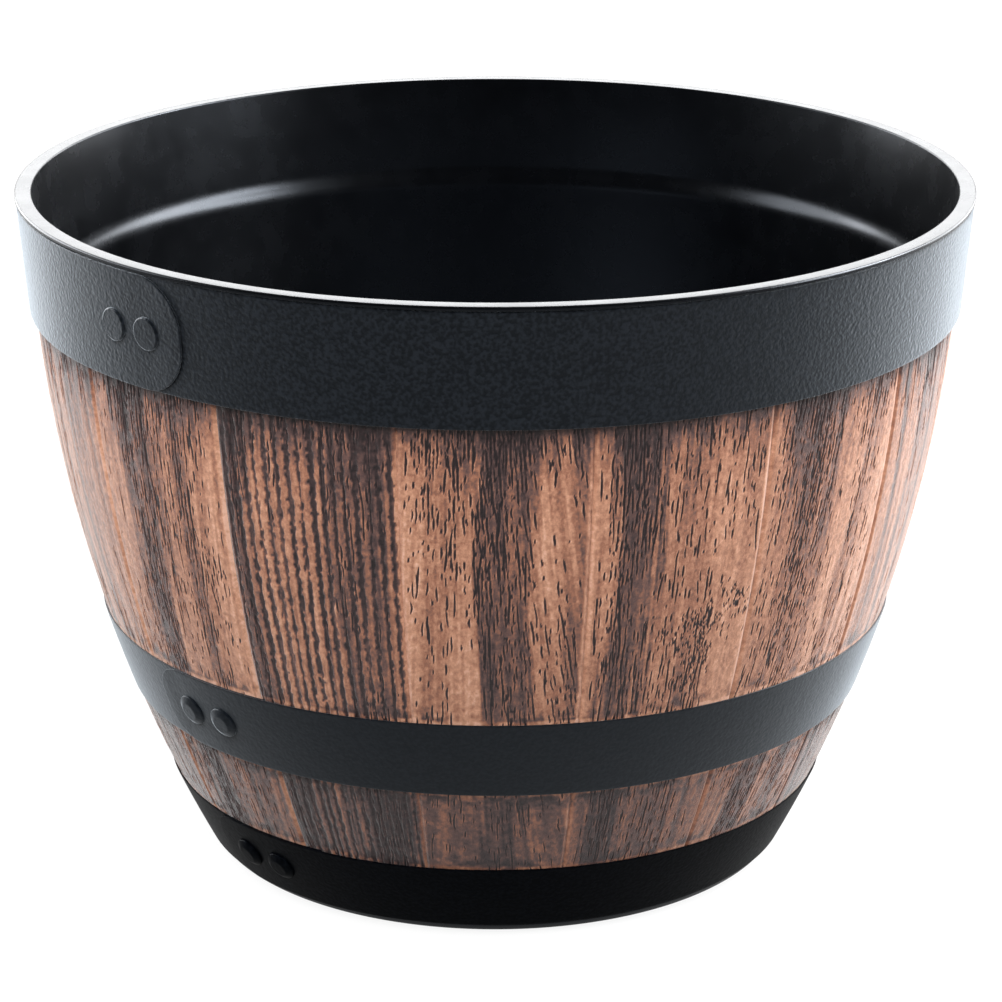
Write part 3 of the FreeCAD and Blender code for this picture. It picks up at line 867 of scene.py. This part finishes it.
def build_rivets(hoop, material):
    """Two rivet heads on the lap, as one piece."""
    outline = rivet_outline(hoop.head)
    turn = np.arange(RIVET_SIDES) / RIVET_SIDES * 2 * math.pi
    lean = hoop.tilt()
    radius = float(hoop.radius(hoop.middle, 2 * HOOP_THICKNESS + LAP_CLEARANCE))
    heads = []
    for side in (-1, 1):
        angle = LAP_DIRECTION + side * hoop.turn(RIVET_PITCH / 2)
        level = np.array([math.sin(angle), -math.cos(angle), 0.0])
        out = math.cos(lean) * level - math.sin(lean) * np.array([0.0, 0.0, 1.0])
        sideways = np.array([math.cos(angle), math.sin(angle), 0.0])
        upwards = np.cross(sideways, out)
        centre = on_pot(angle, radius, hoop.middle)
        spin = np.cos(turn)[:, None] * sideways + np.sin(turn)[:, None] * upwards
        rings = centre + outline[:, 0][:, None, None] * spin[None] + outline[:, 1][:, None, None] * out
        mesh = tube(f"{hoop.name}_head", rings)
        heads.append(bpy.data.objects.new(mesh.name, mesh))
        bpy.context.scene.collection.objects.link(heads[-1])
    with bpy.context.temp_override(active_object=heads[0], selected_editable_objects=heads):
        bpy.ops.object.join()
    mesh = heads[0].data
    bpy.data.objects.remove(heads[0])
    mesh.set_sharp_from_angle(angle=SHARP_TURN)
    place(f"{hoop.name}_heads", mesh, material, "pot", "rivet_plastic", f"{hoop.name}_rivets")


# Inner pot and drain plug

def lathe(name, outline, segments, closes):
    """Turn a radial outline once round; a closed outline makes a ring, an open one a capped solid."""
    turn = np.arange(segments) / segments * 2 * math.pi
    if closes:
        rings = on_pot(turn[:, None], outline[None, :, 0], outline[None, :, 1])
    else:
        rings = on_pot(turn[None, :], outline[:, 0][:, None], outline[:, 1][:, None])
    mesh = tube(name, rings, closes=closes)
    mesh.set_sharp_from_angle(angle=SHARP_TURN)
    return mesh


def pot_wall(offset, low, high):
    """Corners up or down a wall that follows the bend of the staves."""
    levels = np.linspace(low, high, WALL_ROWS)
    return [(float(stave_radius(level, offset)), level, 0) for level in levels]


def build_inner_pot(material):
    """The inner pot, from the drain hole out under the foot, up outside and back down inside."""
    outside = -STAVE_THICKNESS - FIT_GAP
    inside = outside - INNER_WALL
    shelf = STAVE_HIGH + FIT_GAP
    ledge = shelf + LEDGE_RISE
    ledge_foot = ledge - LEDGE_DROP
    lip_low = POT_HEIGHT - LIP_HEIGHT
    foot = float(stave_radius(0.0)) - FOOT_INSET
    foot_inner = foot - FOOT_WIDTH
    seat_edge = float(stave_radius(STAVE_SEAT, HOOP_GAP))

    corners = [(DRAIN_RADIUS, FOOT_RECESS, DRAIN_ROUND), (foot_inner, FOOT_RECESS, FOOT_ROUND)]
    corners += [(foot_inner, 0.0, FOOT_ROUND), (foot, 0.0, FOOT_ROUND)]
    corners += [(seat_edge - FLARE_INSET, STAVE_SEAT - FLARE_DROP, FLARE_ROUND)]
    corners += [(seat_edge, STAVE_SEAT, SEAT_ROUND)]
    corners += pot_wall(outside, STAVE_SEAT, shelf)
    corners += [(float(RIM_HOOP.radius(shelf, -FIT_GAP)), shelf, 0)]
    corners += [(float(RIM_HOOP.radius(lip_low, -FIT_GAP)), lip_low, LIP_ROUND / 4)]
    corners += [(RIM_RADIUS, lip_low, LIP_ROUND / 2), (RIM_RADIUS, POT_HEIGHT, 2 * LIP_ROUND)]
    corners += [(RIM_RADIUS - LIP_WIDTH, POT_HEIGHT, LIP_ROUND)]
    corners += [(float(RIM_HOOP.radius(ledge, -FIT_GAP - RIM_WALL)), ledge, LEDGE_ROUND)]
    corners += [(float(stave_radius(ledge_foot, inside)), ledge_foot, LEDGE_ROUND)]
    corners += pot_wall(inside, ledge_foot - WALL_TOP_ROOM, FLOOR_TOP + WALL_FOOT_ROOM)
    corners += [(float(stave_radius(FLOOR_TOP, inside)), FLOOR_TOP, FLOOR_CORNER)]
    corners += [(DRAIN_RADIUS, FLOOR_TOP, DRAIN_ROUND)]
    mesh = lathe("inner_pot_shell", rounded(corners, POT_ROUND_STEPS), POT_SIDES, closes=True)
    place(mesh.name, mesh, material, "pot", "inner_plastic", "inner_pot")


def build_drain_plug(material):
    """The plug: a shank in the drain hole, a flat head and a waisted grip."""
    corners = [(PLUG_TIP, PLUG_LOW, 0), (PLUG_SHANK, PLUG_LOW, PLUG_EDGE)]
    corners += [(PLUG_SHANK, FLOOR_TOP, PLUG_EDGE / 4), (PLUG_HEAD, FLOOR_TOP, PLUG_EDGE / 2)]
    corners += [(PLUG_HEAD, PLUG_HEAD_TOP, PLUG_EDGE), (PLUG_GRIP, PLUG_HEAD_TOP, PLUG_EDGE)]
    corners += [(PLUG_WAIST, PLUG_WAIST_HEIGHT, PLUG_WAIST_ROUND)]
    corners += [(PLUG_GRIP, PLUG_HIGH, PLUG_EDGE), (PLUG_TIP, PLUG_HIGH, 0)]
    mesh = lathe("drain_plug_rubber", rounded(corners, TURNED_ROUND_STEPS), PLUG_SIDES, closes=False)
    place(mesh.name, mesh, material, "plug", "plug_rubber", "drain_plug")


# Floor, light and camera

FLOOR_SIZE = 8.0
FLOOR_COLOUR = 0.10
FLOOR_GLOW = 0.90
WORLD_LIGHT = 0.50
# The studio is dim behind the camera and bright behind the pot
DIM = 0.05
# Depths, towards +Y, between which the floor and the backdrop grow bright in reflections
FLOOR_DEPTHS = (-0.2, 0.35)
BACKDROP_DEPTHS = (0.1, 0.8)
LIGHT_AIM = Vector((0.0, 0.0, 0.1))


def background_ray(tree, depth, depths):
    """1 for rays from the camera and through glass.  Reflections see the background dim towards the
    front, and growing bright between two depths."""
    path = add(tree, "LightPath")
    seen = add(tree, "Math", {0: path.outputs["Is Camera Ray"], 1: path.outputs["Is Transmission Ray"]},
               operation="MAXIMUM").outputs[0]
    bright = add(tree, "MapRange", {"Value": depth, "From Min": depths[0], "From Max": depths[1],
                                    "To Min": DIM, "To Max": 1.0}).outputs["Result"]
    mirrored = add(tree, "Math", {0: path.outputs["Is Glossy Ray"], 1: bright},
                   operation="MULTIPLY").outputs[0]
    return add(tree, "Math", {0: seen, 1: mirrored}, operation="MAXIMUM").outputs[0], path


def depth_of(tree, vector):
    """How far back a point or a direction lies."""
    return add(tree, "SeparateXYZ", {0: vector}).outputs["Y"]


def build_floor():
    """Plain pale floor."""
    material, tree = blank_material("pale_floor")
    surface = add(tree, "BsdfDiffuse", {"Color": (FLOOR_COLOUR, FLOOR_COLOUR, FLOOR_COLOUR, 1)})
    depth = depth_of(tree, add(tree, "TexCoord").outputs["Object"])
    seen, _ = background_ray(tree, depth, FLOOR_DEPTHS)
    glow = add(tree, "Emission", {"Strength": spread(tree, seen, 0.0, FLOOR_GLOW)})
    both = add(tree, "AddShader", {0: surface.outputs[0], 1: glow.outputs[0]})
    finish_material(tree, both)
    half = FLOOR_SIZE / 2
    corners = [(-half, -half, 0), (half, -half, 0), (half, half, 0), (-half, half, 0)]
    mesh = bpy.data.meshes.new("floor")
    mesh.from_pydata(corners, [], [(0, 1, 2, 3)])
    mesh.materials.append(material)
    floor = bpy.data.objects.new("floor", mesh)
    bpy.context.scene.collection.objects.link(floor)


def build_world():
    """Pale backdrop, which also fills the shadows a little."""
    world = bpy.data.worlds.new("studio")
    world.use_nodes = True
    tree = world.node_tree
    tree.nodes.clear()
    depth = depth_of(tree, add(tree, "TexCoord").outputs["Generated"])
    seen, path = background_ray(tree, depth, BACKDROP_DEPTHS)
    fill = spread(tree, path.outputs["Is Diffuse Ray"], 0.0, WORLD_LIGHT)
    strength = add(tree, "Math", {0: seen, 1: fill}, operation="MAXIMUM").outputs[0]
    sky = add(tree, "Background", {"Strength": strength})
    add(tree, "OutputWorld", {"Surface": sky.outputs[0]})
    bpy.context.scene.world = world


def soft_box(name, place_at, width, height, radiance, mirrored=True):
    """Flat soft light, unseen by the camera, and in reflections too unless mirrored."""
    light = bpy.data.lights.new(name, "AREA")
    light.shape = "RECTANGLE"
    light.size, light.size_y = width, height
    light.energy = radiance * width * height * math.pi
    lamp = bpy.data.objects.new(name, light)
    lamp.location = place_at
    lamp.rotation_euler = (LIGHT_AIM - Vector(place_at)).to_track_quat("-Z", "Y").to_euler()
    lamp.visible_camera = False
    lamp.visible_glossy = mirrored
    bpy.context.scene.collection.objects.link(lamp)


def build_lights():
    """Soft boxes round the pot, the brightest at its right."""
    soft_box("left_box", (-1.3, 0.3, 0.68), width=1.0, height=0.5, radiance=4.8)
    soft_box("right_box", (1.35, 0.05, 0.72), width=1.2, height=0.5, radiance=13.0)
    soft_box("left_rear_box", (-1.1, 1.05, 0.45), width=1.0, height=0.9, radiance=6.4)
    soft_box("right_rear_box", (1.1, 1.05, 0.45), width=1.0, height=0.9, radiance=6.2)
    soft_box("back_box", (0.0, 1.6, 0.70), width=1.4, height=0.6, radiance=4.0)
    soft_box("right_top_box", (0.95, 0.45, 1.05), width=0.45, height=0.45, radiance=35.0)
    soft_box("front_box", (-0.4, -1.1, 1.5), width=2.0, height=1.4, radiance=5.8, mirrored=False)


def build_camera():
    """Camera that sees the pot as the photograph does."""
    data = bpy.data.cameras.new("camera")
    data.sensor_width = SENSOR
    data.lens = FOCAL_PIXELS / PHOTO_SIZE * SENSOR
    data.shift_x = (PHOTO_SIZE / 2 - AXIS_COLUMN) / PHOTO_SIZE
    camera = bpy.data.objects.new("camera", data)
    away = Vector((0, -math.cos(CAMERA_ELEVATION), math.sin(CAMERA_ELEVATION)))
    camera.location = Vector((0, 0, AIM_HEIGHT)) + away * CAMERA_DISTANCE
    camera.rotation_euler = (-away).to_track_quat("-Z", "Y").to_euler()
    bpy.context.scene.collection.objects.link(camera)
    bpy.context.scene.camera = camera


# Build the pot and its stage

wood = wood_material()
# Each hoop's top colour is a painted highlight on the tops of its pebbles
rim_black = hoop_material("rim_black", valley=(0.0010, 0.0016, 0.0030), top=(0.0080, 0.0100, 0.0140),
                          depth=0.00015, gloss=0.40, sheen=1.0)
hoop_black = hoop_material("hoop_black", valley=(0.0016, 0.0026, 0.0044), top=(0.0046, 0.0060, 0.0088),
                           depth=0.00006, gloss=0.40, sheen=0.45)
# A darker, duller copy of the hoop black for the foot hoop: painted shade where it faces the floor by the
# pot
foot_black_painted_shade = hoop_material("foot_black_painted_shade", valley=(0.0006, 0.0009, 0.0016), top=(0.0020, 0.0026, 0.0040),
                           depth=0.00006, gloss=0.04, sheen=0.0)
inner_black = inner_material()
for stave in range(1, STAVE_COUNT + 1):
    build_stave(stave, wood)
for hoop_plan, black in ((RIM_HOOP, rim_black), (MID_HOOP, hoop_black), (BASE_HOOP, foot_black_painted_shade)):
    build_hoop(hoop_plan, black)
    build_rivets(hoop_plan, black)
build_inner_pot(inner_black)
build_drain_plug(rubber_material())
build_floor()
build_world()
build_lights()
build_camera()
bpy.context.scene.view_settings.view_transform = "Standard"
